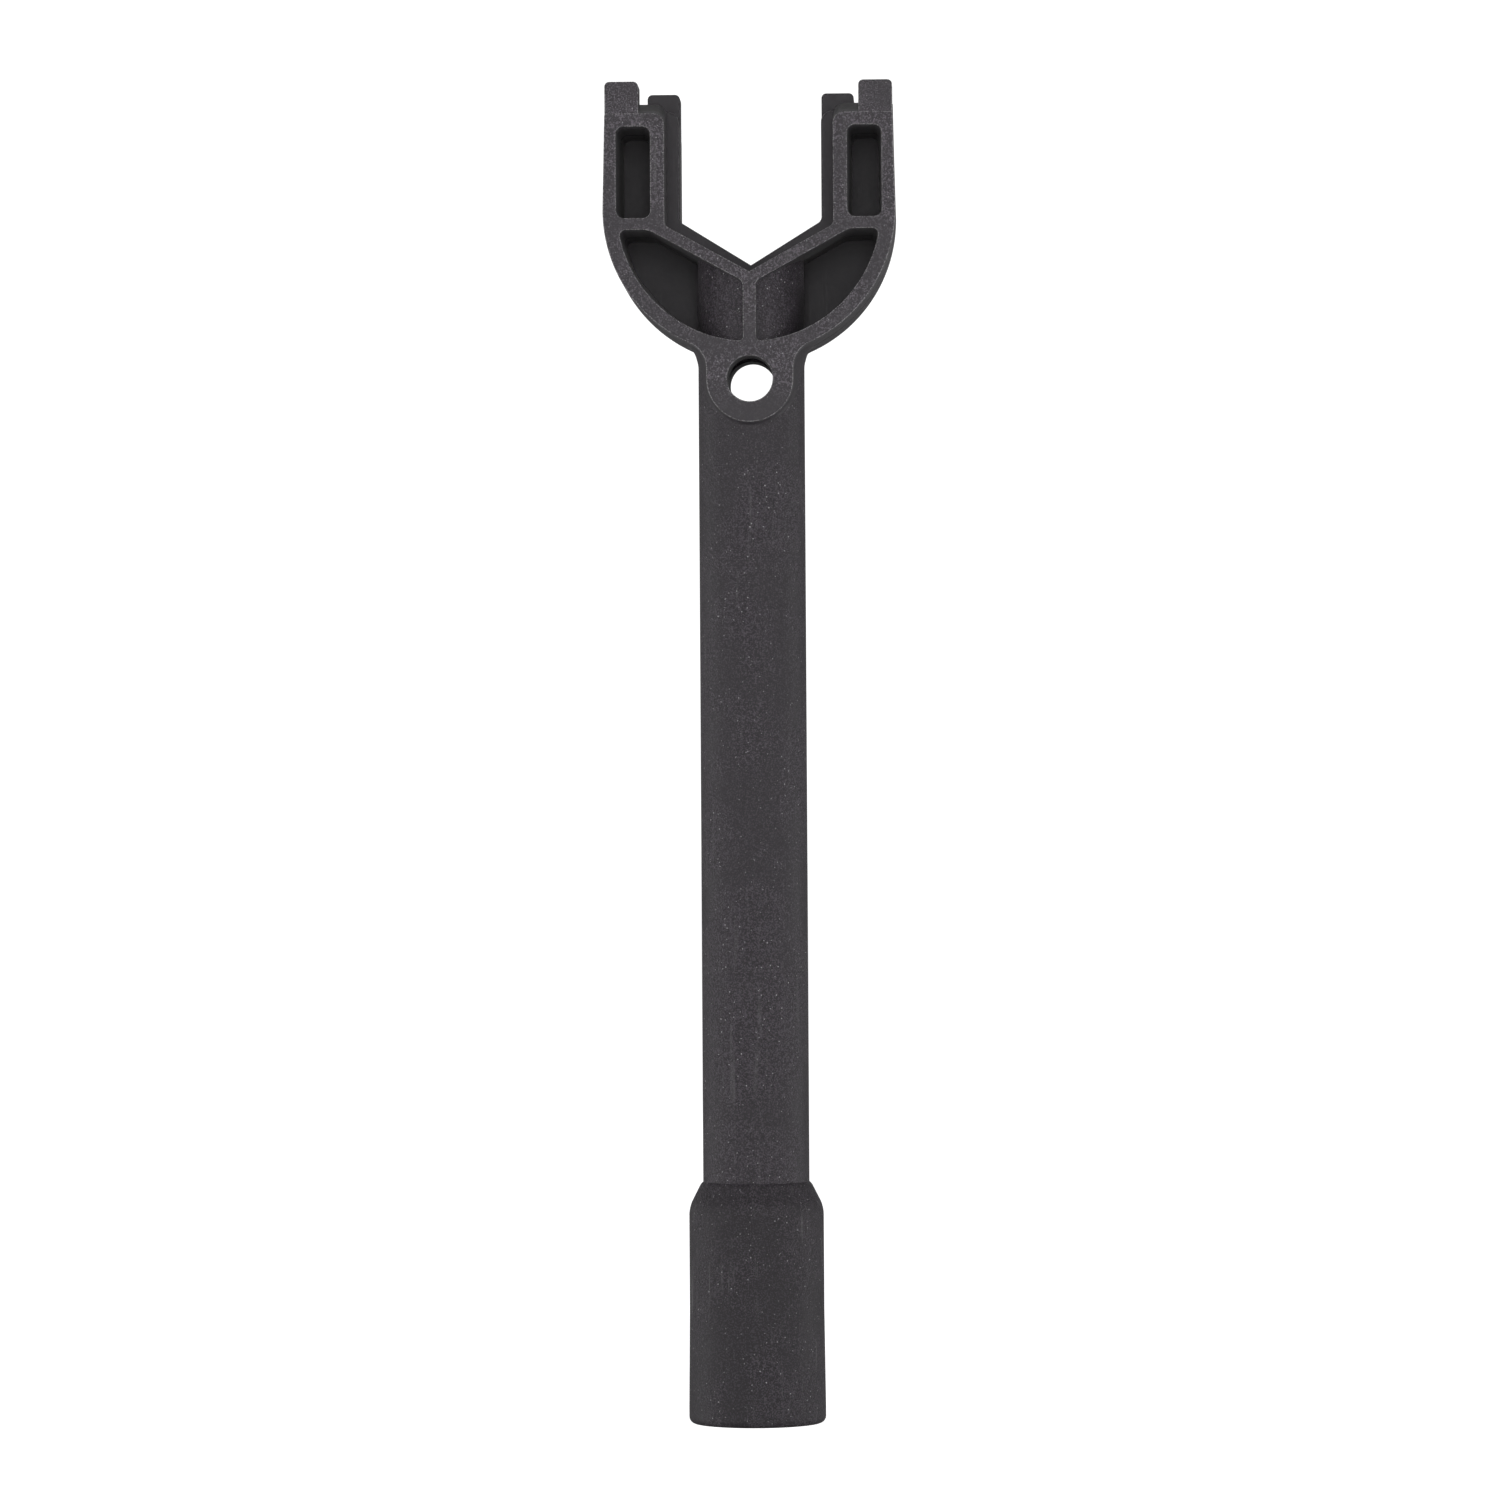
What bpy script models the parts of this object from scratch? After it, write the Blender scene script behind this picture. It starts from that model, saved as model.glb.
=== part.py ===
"""Rigid lug wrench, upright: a forked four-lug head, a hollow round handle and a hex socket.

The tool stands along +Z with its socket mouth on z = 0, its axis on x = y = 0 and its front facing -Y.
The head is two halves that meet on the middle plane y = 0. The upper end of the handle tube lies
between them, and its lower end is held in the socket sleeve, which also holds the hex insert.
"""

import math

import bmesh
import bpy
from mathutils import Matrix, Vector

MM = 0.001
GAP = 0.3                   # clearance between bonded pieces

# Head, seen from the front (mm)
HEAD_DEPTH = 27.0
HEAD_RADIUS = 32.65         # round outer edge of the head
HEAD_CENTRE_Z = 271.2
ARM_TIP_HALF_WIDTH = 32.15  # the arms lean in a little towards their tips
RIM = 3.3                   # wall between the lower pockets and the round edge
TOP_SLOPE_RISE = 3.4        # the arm tops climb by this much from an outer face to the middle plane
TIP_CORNER = 2.5            # rounding of an arm tip towards the jaw
POCKET_FLOOR_Y = 8.1

# Front half: the wider and slightly taller one
FRONT_JAW_HALF = 18.8
FRONT_SHOULDER_Z = 267.8
FRONT_APEX_Z = 257.4
FRONT_RIDGE_Z = 296.3
FRONT_LUG_X = (24.55, 32.05)
FRONT_LUG_TOP_Z = 300.0

# Rear half: the narrower jaw, with its lugs on the inner edges
REAR_JAW_HALF = 15.95
REAR_SHOULDER_Z = 269.9
REAR_APEX_Z = 260.0
REAR_RIDGE_Z = 294.7
REAR_LUG_X = (16.05, 23.3)
REAR_LUG_TOP_Z = 299.2

LUG_DEPTH = 8.0
LUG_SETBACK = 0.2           # a lug's face lies this much behind the face of its arm
LUG_ROOT_Z = 286.0

# Pockets moulded into the arms and under the jaw
ARM_POCKET_X = (22.0, 29.6)
ARM_POCKET_Z = (269.5, 289.9)
ARM_POCKET_CORNER = 1.7
JAW_RIB = 3.0               # height of the V-shaped rib, measured upright
CENTRE_RIB_HALF = 1.5
LOWER_POCKET_TOP_Z = 266.8
LOWER_POCKET_CORNER = 1.8
POCKET_FOOT_CORNER = 1.0

# Neck: saddle pad and cross hole
HOLE_Z = 233.5
HOLE_RADIUS = 5.1
PAD_RADIUS = 9.7
NECK_FILLET = 6.08

# Handle tube
TUBE_RADIUS = 11.93
TUBE_BORE = 5.0
TUBE_FOOT_Z = 36.3
TUBE_BORE_TOP_Z = 247.0
RIB_CLEARANCE = 0.2         # the space for the tube ends this much below the rib

# Socket sleeve and hex insert
SLEEVE_RADIUS = 15.1
SLEEVE_MOUTH_RADIUS = 15.35
SLEEVE_TAPER_Z = 30.0
SLEEVE_EDGE = 1.0
SHOULDER_Z = (48.1, 54.1)
SHOULDER_TOP_RADIUS = 12.6
INSERT_RADIUS = 12.6
INSERT_Z = (1.6, 36.0)
MOUTH_CHAMFER = 0.6
HEX_ACROSS_FLATS = 19.0
HEX_LEAD = 1.0

ROUND_STEPS = 48            # sides of a full turn
CORNER_STEPS = 4            # pieces of a rounded corner


def remove_everything():
    for thing in list(bpy.data.objects):
        bpy.data.objects.remove(thing, do_unlink=True)


def plastic(name, shade, roughness):
    """Glass-filled nylon, nearly black."""
    return principled(name, (shade, shade, shade * 1.06), roughness, 0.0)


def principled(name, colour, roughness, metallic):
    material = bpy.data.materials.new(name)
    material.use_nodes = True
    shader = material.node_tree.nodes["Principled BSDF"]
    shader.inputs["Base Color"].default_value = (*colour, 1.0)
    shader.inputs["Roughness"].default_value = roughness
    shader.inputs["Metallic"].default_value = metallic
    material.diffuse_color = (*colour, 1.0)
    return material


def add_object(name, bm, material=None):
    """Make an object from a bmesh in millimetres; with no material it is a cutter."""
    bmesh.ops.recalc_face_normals(bm, faces=bm.faces)
    bmesh.ops.scale(bm, vec=(MM, MM, MM), verts=bm.verts)
    mesh = bpy.data.meshes.new(name)
    bm.to_mesh(mesh)
    bm.free()
    mesh.shade_smooth()
    mesh.set_sharp_from_angle(angle=math.radians(30))
    thing = bpy.data.objects.new(name, mesh)
    bpy.context.scene.collection.objects.link(thing)
    if material:
        mesh.materials.append(material)
    else:
        thing.hide_render = True
        thing.display_type = "WIRE"
    return thing


def combine(target, tool, operation="DIFFERENCE"):
    boolean = target.modifiers.new(tool.name, "BOOLEAN")
    boolean.solver = "EXACT"
    boolean.operation = operation
    boolean.object = tool


def arc(centre, radius, start, end):
    """Points from one angle to another, in degrees, round a centre (x, z)."""
    steps = max(CORNER_STEPS, round(ROUND_STEPS * abs(end - start) / 360))
    points = []
    for step in range(steps + 1):
        angle = math.radians(start + (end - start) * step / steps)
        points.append((centre[0] + radius * math.cos(angle), centre[1] + radius * math.sin(angle)))
    return points


def rounded_corner(before, here, after, radius):
    """Arc of a radius that rounds the corner `here` between two straight edges."""
    corner = Vector(here)
    back = (Vector(before) - corner).normalized()
    ahead = (Vector(after) - corner).normalized()
    half = back.angle(ahead) / 2
    centre = corner + (back + ahead).normalized() * radius / math.sin(half)
    reach = radius / math.tan(half)
    first = corner + back * reach - centre
    last = corner + ahead * reach - centre
    start = math.degrees(math.atan2(first.y, first.x))
    turn = (math.degrees(math.atan2(last.y, last.x)) - start + 180) % 360 - 180
    return arc(centre, radius, start, start + turn)


def prism(outline, low_y, high_y):
    """A flat outline of (x, z) points made solid between two depths."""
    bm = bmesh.new()
    corners = [bm.verts.new((x, low_y, z)) for x, z in outline]
    face = bm.faces.new(corners)
    swept = bmesh.ops.extrude_face_region(bm, geom=[face])
    moved = [part for part in swept["geom"] if isinstance(part, bmesh.types.BMVert)]
    bmesh.ops.translate(bm, verts=moved, vec=(0, high_y - low_y, 0))
    return bm


def turned(profile):
    """A closed profile of (radius, z) points turned round the Z axis."""
    bm = bmesh.new()
    corners = [bm.verts.new((radius, 0, z)) for radius, z in profile]
    edges = [bm.edges.new((corners[i - 1], corners[i])) for i in range(len(corners))]
    bmesh.ops.spin(bm, geom=corners + edges, cent=(0, 0, 0), axis=(0, 0, 1), angle=math.tau,
                   steps=ROUND_STEPS, use_merge=True)
    bmesh.ops.remove_doubles(bm, verts=bm.verts, dist=0.001)
    return bm


def rod(radius, low_z, high_z):
    bm = bmesh.new()
    bmesh.ops.create_cone(bm, cap_ends=True, segments=ROUND_STEPS, radius1=radius, radius2=radius,
                          depth=high_z - low_z)
    bmesh.ops.translate(bm, verts=bm.verts, vec=(0, 0, (low_z + high_z) / 2))
    return bm


def jaw_slope(shoulder_x, shoulder_z, apex_z):
    return (shoulder_z - apex_z) / shoulder_x


FRONT_SLOPE = jaw_slope(FRONT_JAW_HALF, FRONT_SHOULDER_Z, FRONT_APEX_Z)


def rib_underside(x, drop=0.0):
    """Height of the lower edge of the V-shaped rib at a distance x from the axis."""
    return FRONT_APEX_Z - JAW_RIB + FRONT_SLOPE * abs(x) - drop


def mirrored(points):
    """Close a right-hand half outline with its left-hand half."""
    return points + [(-x, z) for x, z in reversed(points) if x > 0.0001]


def head_outline(jaw_half, shoulder_z, apex_z, ridge_z):
    """Half of the head from the bottom of the saddle pad round to the bottom of the jaw."""
    neck_x = PAD_RADIUS + NECK_FILLET
    span = HEAD_RADIUS + NECK_FILLET
    neck_z = HEAD_CENTRE_Z - math.sqrt(span ** 2 - neck_x ** 2)
    to_head = math.degrees(math.atan2(HEAD_CENTRE_Z - neck_z, -neck_x))
    outer_tip = (ARM_TIP_HALF_WIDTH, ridge_z)
    inner_tip = (jaw_half, ridge_z)
    shoulder = (jaw_half, shoulder_z)
    points = arc((0, HOLE_Z), PAD_RADIUS, -90, 0)
    points += arc((neck_x, neck_z), NECK_FILLET, 180, to_head)
    points += arc((0, HEAD_CENTRE_Z), HEAD_RADIUS, to_head - 180, 0)[1:]
    points += [outer_tip]
    points += rounded_corner(outer_tip, inner_tip, shoulder, TIP_CORNER)
    points += [shoulder, (0, apex_z)]
    return mirrored(points)


def arm_pocket_outline(side):
    low_x, high_x = ARM_POCKET_X
    low_z, high_z = ARM_POCKET_Z
    corners = [(low_x, low_z), (high_x, low_z), (high_x, high_z), (low_x, high_z)]
    points = []
    for i, here in enumerate(corners):
        points += rounded_corner(corners[i - 1], here, corners[(i + 1) % 4], ARM_POCKET_CORNER)
    return [(side * x, z) for x, z in points]


def lower_pocket_outline(side):
    """The space under the V-shaped rib, bounded outside by the round rim."""
    radius = HEAD_RADIUS - RIM
    top, rib = LOWER_POCKET_TOP_Z, CENTRE_RIB_HALF
    shoulder = ((top - rib_underside(0)) / FRONT_SLOPE, top)
    corner = LOWER_POCKET_CORNER
    corner_z = top - corner - HEAD_CENTRE_Z
    corner_x = math.sqrt((radius - corner) ** 2 - corner_z ** 2)
    corner_turn = math.degrees(math.atan2(corner_z, corner_x))
    foot = POCKET_FOOT_CORNER
    foot_x = rib + foot
    foot_z = -math.sqrt((radius - foot) ** 2 - foot_x ** 2)
    foot_turn = math.degrees(math.atan2(foot_z, foot_x))
    points = [(rib, rib_underside(rib)), shoulder]
    points += arc((corner_x, corner_z + HEAD_CENTRE_Z), corner, 90, corner_turn)
    points += arc((0, HEAD_CENTRE_Z), radius, corner_turn, foot_turn)[1:-1]
    points += arc((foot_x, foot_z + HEAD_CENTRE_Z), foot, foot_turn, -180)
    return [(side * x, z) for x, z in points]


def tube_space():
    """Room for the handle tube between the halves, closed by the V-shaped rib."""
    space = add_object("tube_space", rod(TUBE_RADIUS + GAP, HOLE_Z - 30, HEAD_CENTRE_Z))
    combine(space, jaw_wedge("rib_above_space", RIB_CLEARANCE))
    return space


def jaw_wedge(name, drop):
    """Everything above the V-shaped rib's lower edge, dropped by a little."""
    far, top = HEAD_RADIUS + 5, FRONT_LUG_TOP_Z
    foot = [(x, rib_underside(x, drop)) for x in (-far, 0, far)]
    return add_object(name, prism(foot + [(far, top), (-far, top)], -far, far))


def hole_cutter():
    bm = rod(HOLE_RADIUS, -HEAD_DEPTH, HEAD_DEPTH)
    bmesh.ops.rotate(bm, verts=bm.verts, matrix=Matrix.Rotation(math.pi / 2, 3, "X"))
    bmesh.ops.translate(bm, verts=bm.verts, vec=(0, 0, HOLE_Z))
    return add_object("cross_hole", bm)


def lug(name, span, faces_y, top_z):
    """One square driving lug with rounded upright and top edges."""
    low_y, high_y = faces_y
    bm = prism([(span[0], LUG_ROOT_Z), (span[1], LUG_ROOT_Z), (span[1], top_z), (span[0], top_z)],
               low_y, high_y)
    above = [edge for edge in bm.edges if max(v.co.z for v in edge.verts) > LUG_ROOT_Z + 1]
    bmesh.ops.bevel(bm, geom=above, offset=0.7, segments=2, profile=0.5, affect="EDGES", material=-1)
    return add_object(name, bm)


def head_half(name, outline, ridge_z, side, lug_span, lug_top_z, material, cutters):
    """One half of the head. side is -1 for the front half and 1 for the rear half."""
    inner, outer = side * GAP / 2, side * HEAD_DEPTH / 2
    bm = prism(outline, inner, outer)
    for vert in bm.verts:
        if vert.co.z > ridge_z - TIP_CORNER - 0.1 and abs(vert.co.y) > HEAD_DEPTH / 4:
            vert.co.z -= TOP_SLOPE_RISE
    half = add_object(name, bm, material)
    face = outer - side * LUG_SETBACK
    for hand in (-1, 1):
        span = [hand * x for x in lug_span]
        depths = (face, face - side * LUG_DEPTH)
        combine(half, lug(f"{name}_lug_{hand}", span, depths, lug_top_z), "UNION")
    for cutter in cutters:
        combine(half, cutter)
    return half


def front_head_half(cutters):
    outline = head_outline(FRONT_JAW_HALF, FRONT_SHOULDER_Z, FRONT_APEX_Z, FRONT_RIDGE_Z)
    return head_half("front_head_half", outline, FRONT_RIDGE_Z, -1, FRONT_LUG_X, FRONT_LUG_TOP_Z,
                     plastic("front_half_nylon", 0.036, 0.58), cutters)


def rear_head_half(cutters):
    outline = head_outline(REAR_JAW_HALF, REAR_SHOULDER_Z, REAR_APEX_Z, REAR_RIDGE_Z)
    return head_half("rear_head_half", outline, REAR_RIDGE_Z, 1, REAR_LUG_X, REAR_LUG_TOP_Z,
                     plastic("rear_half_nylon", 0.034, 0.6), cutters)


def handle_tube(hole):
    """Thick-walled tube with a blind bore, notched at the top to fit under the jaw."""
    top = HEAD_CENTRE_Z - 3
    profile = [(TUBE_RADIUS, TUBE_FOOT_Z), (TUBE_RADIUS, top), (0, top), (0, TUBE_BORE_TOP_Z),
               (TUBE_BORE, TUBE_BORE_TOP_Z), (TUBE_BORE, TUBE_FOOT_Z)]
    tube = add_object("handle_tube", turned(profile), plastic("handle_nylon", 0.034, 0.55))
    combine(tube, jaw_wedge("rib_above_tube", RIB_CLEARANCE + GAP))
    combine(tube, hole)
    return tube


def socket_sleeve():
    """Socket body with a conical shoulder, counterbored for the tube and for the insert."""
    low, high = SHOULDER_Z
    seat = INSERT_RADIUS + GAP
    counterbore = TUBE_RADIUS + GAP
    profile = [(seat + MOUTH_CHAMFER, 0)]
    profile += arc((SLEEVE_MOUTH_RADIUS - SLEEVE_EDGE, SLEEVE_EDGE), SLEEVE_EDGE, -90, 0)
    profile += [(SLEEVE_RADIUS, SLEEVE_TAPER_Z), (SLEEVE_RADIUS, low), (SHOULDER_TOP_RADIUS, high)]
    profile += [(counterbore, high), (counterbore, TUBE_FOOT_Z), (seat, TUBE_FOOT_Z)]
    profile += [(seat, MOUTH_CHAMFER)]
    return add_object("socket_sleeve", turned(profile), plastic("sleeve_nylon", 0.033, 0.55))


def hex_insert():
    """Steel liner with a hexagon bore for the nut."""
    low, high = INSERT_Z
    corner = HEX_ACROSS_FLATS / math.sqrt(3)
    steel = principled("insert_steel", (0.09, 0.09, 0.095), 0.42, 1.0)
    insert = add_object("hex_insert", rod(INSERT_RADIUS, low, high), steel)
    bm = bmesh.new()
    bmesh.ops.create_cone(bm, cap_ends=True, segments=6, radius1=corner, radius2=corner,
                          depth=2 * (high - low))
    bmesh.ops.translate(bm, verts=bm.verts, vec=(0, 0, high))
    combine(insert, add_object("hex_bore", bm))
    lead = bmesh.new()
    bmesh.ops.create_cone(lead, cap_ends=True, segments=ROUND_STEPS, radius1=corner + HEX_LEAD,
                          radius2=corner - HEX_LEAD, depth=2 * HEX_LEAD)
    bmesh.ops.translate(lead, verts=lead.verts, vec=(0, 0, low + 0.5 * HEX_LEAD))
    combine(insert, add_object("hex_lead_in", lead))
    return insert


def pocket_cutters():
    """The arm pockets and the two pockets under the jaw, all with one floor depth."""
    cutters = []
    for side in (-1, 1):
        name = "left" if side < 0 else "right"
        for label, outline in (("arm", arm_pocket_outline(side)), ("lower", lower_pocket_outline(side))):
            cutters.append(add_object(f"{name}_{label}_pocket", prism(outline, -HEAD_DEPTH, POCKET_FLOOR_Y)))
    return cutters


def build():
    remove_everything()
    hole = hole_cutter()
    head_cutters = pocket_cutters() + [tube_space(), hole]
    front_head_half(head_cutters)
    rear_head_half(head_cutters)
    handle_tube(hole)
    socket_sleeve()
    hex_insert()


build()
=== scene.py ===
"""Looks of the lug wrench: moulded nylon head halves, handle and socket, and the steel hex insert.

Each piece is shaped in millimetres with the tool upright, its socket mouth on z = 0 and its front
facing -Y, and is brought to metres when it is finished.
"""

import math

import bmesh
import bpy
from mathutils import Matrix, Vector


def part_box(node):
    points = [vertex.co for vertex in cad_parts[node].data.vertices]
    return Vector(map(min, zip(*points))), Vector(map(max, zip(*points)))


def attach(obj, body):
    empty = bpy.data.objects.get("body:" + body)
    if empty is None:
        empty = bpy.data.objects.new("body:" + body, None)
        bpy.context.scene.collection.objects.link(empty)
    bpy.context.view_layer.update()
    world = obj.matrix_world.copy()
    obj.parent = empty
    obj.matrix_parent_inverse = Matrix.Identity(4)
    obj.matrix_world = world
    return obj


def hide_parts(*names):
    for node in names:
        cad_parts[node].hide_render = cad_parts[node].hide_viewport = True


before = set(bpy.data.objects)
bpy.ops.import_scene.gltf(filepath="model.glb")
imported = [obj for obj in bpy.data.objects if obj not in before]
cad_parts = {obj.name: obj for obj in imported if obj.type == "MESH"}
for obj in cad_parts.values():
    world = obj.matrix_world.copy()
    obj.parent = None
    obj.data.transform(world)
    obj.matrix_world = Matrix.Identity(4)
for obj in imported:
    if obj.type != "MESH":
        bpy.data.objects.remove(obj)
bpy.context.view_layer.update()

MM = 0.001


def box_mm(node):
    """Lowest and highest corners of a CAD node, in millimetres."""
    low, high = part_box(node)
    return low / MM, high / MM


FRONT_LOW, FRONT_HIGH = box_mm("front_head_half")
REAR_HIGH = box_mm("rear_head_half")[1]
TUBE_LOW, TUBE_HIGH = box_mm("handle_tube")
SLEEVE_HIGH = box_mm("socket_sleeve")[1]
INSERT_LOW, INSERT_HIGH = box_mm("hex_insert")

# Head (mm)
FACE_Y = REAR_HIGH.y                # distance of each outer face from the middle plane
HEAD_RADIUS = FRONT_HIGH.x
HEAD_CENTRE_Z = 271.2
ARM_TIP_HALF_WIDTH = 32.15
TOP_SLOPE_RISE = 3.4
TIP_CORNER = 2.5                    # at the jaw; the outer one is smaller
OUTER_TIP_CORNER = 0.6
RIM_ROUNDING = 0.34
SEAM_ROUNDING = 0.45
SEAM_GAP = 0.02
SHOULDER_REACH = 0.8

FRONT_JAW = {"half": 18.8, "shoulder_z": 267.8, "apex_z": 257.4, "ridge_z": 296.3}
REAR_JAW = {"half": 15.95, "shoulder_z": 269.9, "apex_z": 260.0, "ridge_z": 294.7}
FRONT_LUG = {"x": (24.55, 32.1), "top_z": FRONT_HIGH.z}
REAR_LUG = {"x": (16.0, 23.3), "top_z": REAR_HIGH.z}
LUG_DEPTH = 8.0
LUG_SETBACK = 0.18
LUG_ROOT_Z = 291.2
LUG_ROUNDING = 0.3
LUG_CORNER = 1.1
HEEL_WIDTH = 4.5
HEEL_DROP = 6.0

# Pockets (mm)
RIM_WALL = 3.3
ARM_POCKET = {"x": (22.0, 29.6), "z": (269.5, 289.9), "corner": 1.7}
POCKET_RIM_SLACK = RIM_ROUNDING + 0.1
JAW_RIB = 3.0
CENTRE_RIB_HALF = 1.5
LOWER_POCKET_TOP_Z = 266.8
LOWER_POCKET_CORNERS = (1.55, 1.2, 1.0, 0.9)    # at the rim, under the arm, at the foot, at the apex
LOWER_POCKET_CENTRE = (15.0, 257.0)     # where its walls lean to
POCKET_FLOOR_Y = 8.1
DRAFT = 0.035                       # how much a pocket wall leans in for each mm of depth
DRAFT_BLEND = 3.0                   # walls nearer than this to the middle lean less

# Neck (mm)
PAD_RADIUS = 9.7
HOLE_Z = FRONT_LOW.z + PAD_RADIUS
HOLE_RADIUS = 5.1
NECK_FILLET = 6.08
PAD_FLARE = 0.9
NECK_FLARE = 3.0
FLARE_TOP_Z = HEAD_CENTRE_Z - 28
FLARE_CHANGE = 6.0                  # height above the hole over which one flare turns into the other
HOLE_WALL_RADIUS = HOLE_RADIUS + 1  # nearer the hole's centre than this, a wall is the hole's own
POCKETS_FROM_Z = HOLE_Z + HOLE_RADIUS + 2
TUBE_ROOM_FROM_Z = HOLE_Z - 20      # below the pad, so that the room for the tube is open there

# Handle and socket (mm)
TUBE_RADIUS = TUBE_HIGH.x
BORE_RADIUS = 5.0
BORE_TOP_Z = 247.0
SQUEEZE = 0.12                      # the halves and the socket grip the tube by this much
TUBE_TOP_SINK = 0.3                 # how far the tube's slanted top runs into the rib
TUBE_ROOM_SHORT = 0.15              # how far below the rib the halves' room for the tube ends
SLEEVE_RADIUS = 15.1
SLEEVE_MOUTH_RADIUS = SLEEVE_HIGH.x
SHOULDER_Z = (48.4, SLEEVE_HIGH.z)
MOUTH_BAND_Z = (4.0, 26.0)          # the mouth's full width ends at the first, the flare at the second
SEAT_GAP = 0.15                     # between the socket and the steel insert
HEX_ACROSS_FLATS = 19.0
LEAD_IN = 2.2

TURN_STEPS = 128
HOLE_STEPS = 64
WALL_CUTS = 24                      # rows along the outer wall, so that it can flare


# ---------------------------------------------------------------- shaping

def swing(bm, vert, centre, degrees, steps):
    """Lengthen a chain of edges along an arc round (x, z), anticlockwise seen from the front."""
    made = bmesh.ops.spin(bm, geom=[vert], cent=(centre[0], vert.co.y, centre[1]), axis=(0, -1, 0),
                          angle=math.radians(degrees), steps=steps)
    return next(part for part in made["geom_last"] if isinstance(part, bmesh.types.BMVert))


def reach(bm, vert, x, z):
    """Lengthen a chain of edges with a straight run to (x, z)."""
    made = bmesh.ops.extrude_vert_indiv(bm, verts=[vert])
    made["verts"][0].co = (x, vert.co.y, z)
    return made["verts"][0]


def near(bm, *places):
    """The vertices that lie at these (x, z) places, on either side of the axis."""
    return [v for v in bm.verts
            if any(abs(abs(v.co.x) - x) < 0.01 and abs(v.co.z - z) < 0.01 for x, z in places)]


def round_corners(bm, verts, offset, segments=6):
    """Round the corners of a flat outline; offset is how far from the corner the curve starts."""
    bmesh.ops.bevel(bm, geom=verts, offset=offset, offset_type="OFFSET", segments=segments, profile=0.5,
                    affect="VERTICES", material=-1, clamp_overlap=False)


def close_mirrored(bm):
    """Mirror a half outline that starts and ends on the axis, and fill it."""
    bmesh.ops.mirror(bm, geom=bm.verts[:] + bm.edges[:], matrix=Matrix.Identity(4), merge_dist=0.001,
                     axis="X")
    bmesh.ops.remove_doubles(bm, verts=bm.verts, dist=0.001)
    bmesh.ops.contextual_create(bm, geom=bm.edges[:])


def head_outline(y, jaw):
    """Flat outline of a head half: saddle pad, neck, round edge, arms and V-bottomed jaw."""
    bm = bmesh.new()
    neck_x = PAD_RADIUS + NECK_FILLET
    neck_z = HEAD_CENTRE_Z - math.sqrt((HEAD_RADIUS + NECK_FILLET) ** 2 - neck_x ** 2)
    lean = math.degrees(math.atan2(neck_x, HEAD_CENTRE_Z - neck_z))
    vert = bm.verts.new((0, y, HOLE_Z - PAD_RADIUS))
    vert = swing(bm, vert, (0, HOLE_Z), 90, 22)
    vert = reach(bm, vert, PAD_RADIUS, neck_z)
    vert = swing(bm, vert, (neck_x, neck_z), lean - 90, 18)
    vert = swing(bm, vert, (0, HEAD_CENTRE_Z), 90 - lean, 48)
    for x, z in ((ARM_TIP_HALF_WIDTH, jaw["ridge_z"]), (jaw["half"], jaw["ridge_z"]),
                 (jaw["half"], jaw["shoulder_z"]), (0, jaw["apex_z"])):
        vert = reach(bm, vert, x, z)
    close_mirrored(bm)
    round_corners(bm, near(bm, (jaw["half"], jaw["ridge_z"])), TIP_CORNER, 10)
    round_corners(bm, near(bm, (jaw["half"], jaw["shoulder_z"])), SHOULDER_REACH)
    round_corners(bm, near(bm, (ARM_TIP_HALF_WIDTH, jaw["ridge_z"])), OUTER_TIP_CORNER, 4)
    return bm


def arm_pocket_outline(y):
    bm = bmesh.new()
    (low_x, high_x), (low_z, high_z) = ARM_POCKET["x"], ARM_POCKET["z"]
    bmesh.ops.create_grid(bm, x_segments=1, y_segments=1, size=0.5)
    for vert in bm.verts:
        across, up = vert.co.x + 0.5, vert.co.y + 0.5
        vert.co = (low_x + across * (high_x - low_x), y, low_z + up * (high_z - low_z))
    round_corners(bm, bm.verts[:], ARM_POCKET["corner"], 7)
    return bm


def rib_slope():
    return (FRONT_JAW["shoulder_z"] - FRONT_JAW["apex_z"]) / FRONT_JAW["half"]


def rib_underside(x):
    """Height of the V-shaped rib's underside at a distance from the axis."""
    return FRONT_JAW["apex_z"] - JAW_RIB + rib_slope() * abs(x)


def lower_pocket_outline(y):
    """Pocket between the V-shaped rib, the centre rib and the round rim."""
    bm = bmesh.new()
    radius = HEAD_RADIUS - RIM_WALL
    foot_drop = math.sqrt(radius ** 2 - CENTRE_RIB_HALF ** 2)
    top_x = math.sqrt(radius ** 2 - (HEAD_CENTRE_Z - LOWER_POCKET_TOP_Z) ** 2)
    foot_turn = math.atan2(-foot_drop, CENTRE_RIB_HALF)
    top_turn = math.atan2(LOWER_POCKET_TOP_Z - HEAD_CENTRE_Z, top_x)
    shoulder_x = (LOWER_POCKET_TOP_Z - rib_underside(0)) / rib_slope()
    first = bm.verts.new((CENTRE_RIB_HALF, y, HEAD_CENTRE_Z - foot_drop))
    vert = swing(bm, first, (0, HEAD_CENTRE_Z), math.degrees(top_turn - foot_turn), 26)
    vert = reach(bm, vert, shoulder_x, LOWER_POCKET_TOP_Z)
    vert = reach(bm, vert, CENTRE_RIB_HALF, rib_underside(CENTRE_RIB_HALF))
    bm.edges.new((vert, first))
    bmesh.ops.contextual_create(bm, geom=bm.edges[:])
    corners = ((top_x, LOWER_POCKET_TOP_Z), (shoulder_x, LOWER_POCKET_TOP_Z),
               (CENTRE_RIB_HALF, HEAD_CENTRE_Z - foot_drop),
               (CENTRE_RIB_HALF, rib_underside(CENTRE_RIB_HALF)))
    for place, offset in zip(corners, LOWER_POCKET_CORNERS):
        round_corners(bm, near(bm, place), offset)
    return bm


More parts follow.
